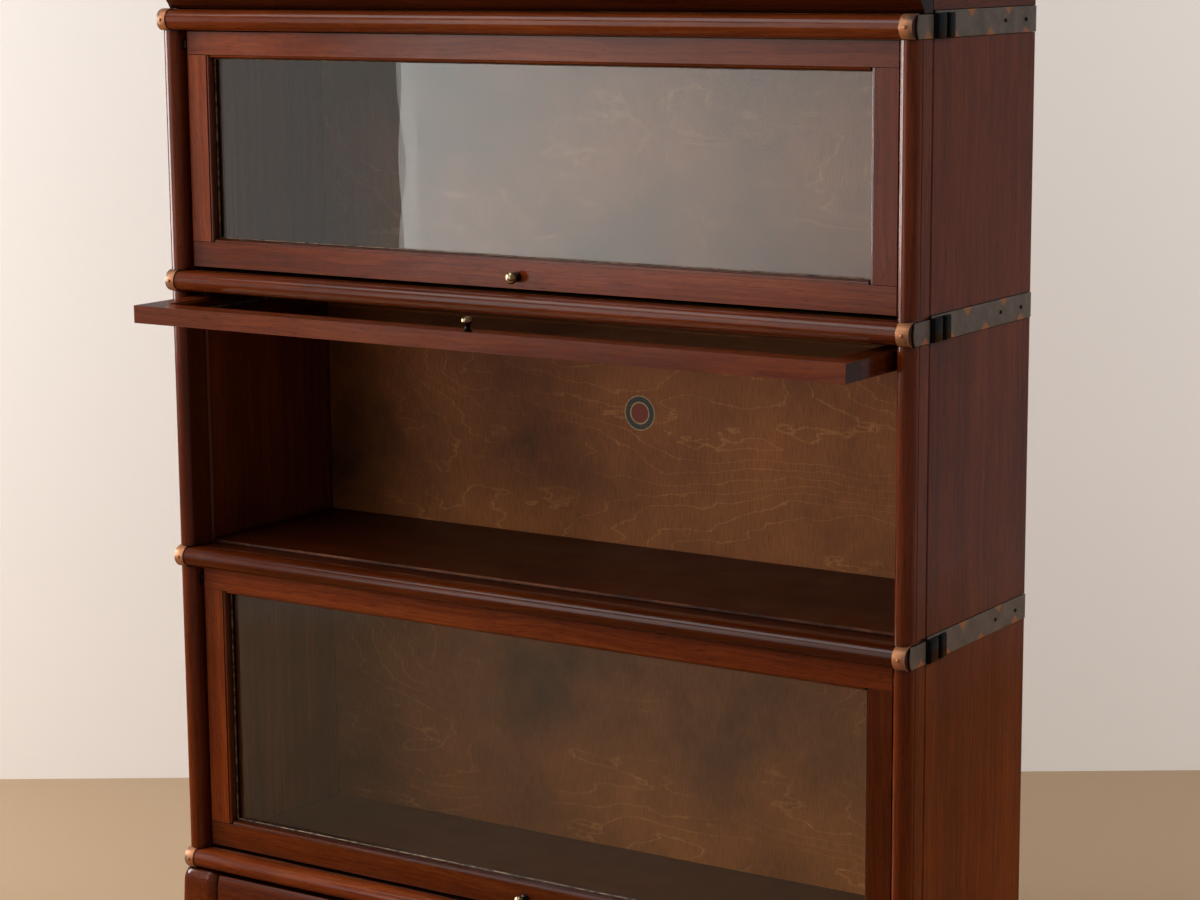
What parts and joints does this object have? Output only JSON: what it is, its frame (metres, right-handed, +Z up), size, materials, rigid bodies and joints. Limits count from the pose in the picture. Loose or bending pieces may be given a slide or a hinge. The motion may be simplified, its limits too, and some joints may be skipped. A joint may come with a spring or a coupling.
{
  "type": "barrister bookcase",
  "caption": "Stacked wooden bookcase in sections with glazed doors that lift and slide back, a moulded crown on top and a drawer in the base.",
  "frame": {"origin": "bottom centre of the whole object's box, with the middle door standing open as at rest; the floor is z = 0", "axes": "+Z up, front towards -Y, +X to the right when facing the front"},
  "size_m": [0.88, 0.324, 1.1243],
  "materials": {
    "polished_mahogany": "dark red stain under worn, satin-gloss shellac polish",
    "stained_plywood": "thin brown stain, low sheen",
    "side_banding": "rolled sheet, copper plating worn and browned",
    "knob_brass": "turned, aged lacquer",
    "rod_steel": "drawn rod, dull",
    "door_glass": "old drawn sheet, slightly wavy"
  },
  "bodies": {
    "case": {"base_back": "polished_mahogany", "base_plinth_rail": "polished_mahogany", "base_side_left": "polished_mahogany", "base_side_right": "polished_mahogany", "crown_back_panel": "stained_plywood", "crown_band_left": "side_banding", "crown_band_right": "side_banding", "crown_cornice": "polished_mahogany", "crown_front_rail": "polished_mahogany", "crown_side_left": "polished_mahogany", "crown_side_right": "polished_mahogany", "crown_top": "polished_mahogany", "section1_back_panel": "stained_plywood", "section1_band_left": "side_banding", "section1_band_right": "side_banding", "section1_front_rail": "polished_mahogany", "section1_shelf": "polished_mahogany", "section1_side_left": "polished_mahogany", "section1_side_right": "polished_mahogany", "section2_back_panel": "stained_plywood", "section2_band_left": "side_banding", "section2_band_right": "side_banding", "section2_front_rail": "polished_mahogany", "section2_shelf": "polished_mahogany", "section2_side_left": "polished_mahogany", "section2_side_right": "polished_mahogany", "section3_back_panel": "stained_plywood", "section3_band_left": "side_banding", "section3_band_right": "side_banding", "section3_front_rail": "polished_mahogany", "section3_shelf": "polished_mahogany", "section3_side_left": "polished_mahogany", "section3_side_right": "polished_mahogany"},
    "drawer": {"drawer_back": "polished_mahogany", "drawer_bottom": "stained_plywood", "drawer_front": "polished_mahogany", "drawer_knob": "knob_brass", "drawer_side_left": "polished_mahogany", "drawer_side_right": "polished_mahogany"},
    "section1_door": {"section1_door_bottom_rail": "polished_mahogany", "section1_door_glass": "door_glass", "section1_door_knob": "knob_brass", "section1_door_stile_left": "polished_mahogany", "section1_door_stile_right": "polished_mahogany", "section1_door_top_rail": "polished_mahogany"},
    "section1_slide": {"section1_hinge_rod": "rod_steel"},
    "section2_door": {"section2_door_bottom_rail": "polished_mahogany", "section2_door_glass": "door_glass", "section2_door_knob": "knob_brass", "section2_door_stile_left": "polished_mahogany", "section2_door_stile_right": "polished_mahogany", "section2_door_top_rail": "polished_mahogany"},
    "section2_slide": {"section2_hinge_rod": "rod_steel"},
    "section3_door": {"section3_door_bottom_rail": "polished_mahogany", "section3_door_glass": "door_glass", "section3_door_knob": "knob_brass", "section3_door_stile_left": "polished_mahogany", "section3_door_stile_right": "polished_mahogany", "section3_door_top_rail": "polished_mahogany"},
    "section3_slide": {"section3_hinge_rod": "rod_steel"}
  },
  "joints": [
    {"name": "section1_door_recede", "type": "slide", "parent": "case", "child": "section1_slide", "axis": [0, 1, 0], "range_m": [0, 0.18]},
    {"name": "section1_door_lift", "type": "hinge", "parent": "section1_slide", "child": "section1_door", "pos_m": [0, -0.059, 1.018], "axis": [-1, 0, 0], "range_deg": [0, 90]},
    {"name": "section2_door_recede", "type": "slide", "parent": "case", "child": "section2_slide", "axis": [0, 1, 0], "range_m": [-0.15, 0.045]},
    {"name": "section2_door_lift", "type": "hinge", "parent": "section2_slide", "child": "section2_door", "pos_m": [0, 0.091, 0.75], "axis": [-1, 0, 0], "range_deg": [-90, 0]},
    {"name": "section3_door_recede", "type": "slide", "parent": "case", "child": "section3_slide", "axis": [0, 1, 0], "range_m": [0, 0.195]},
    {"name": "section3_door_lift", "type": "hinge", "parent": "section3_slide", "child": "section3_door", "pos_m": [0, -0.059, 0.457], "axis": [-1, 0, 0], "range_deg": [0, 90]},
    {"name": "drawer_pull", "type": "slide", "parent": "case", "child": "drawer", "axis": [0, -1, 0], "range_m": [0, 0.165]}
  ]
}
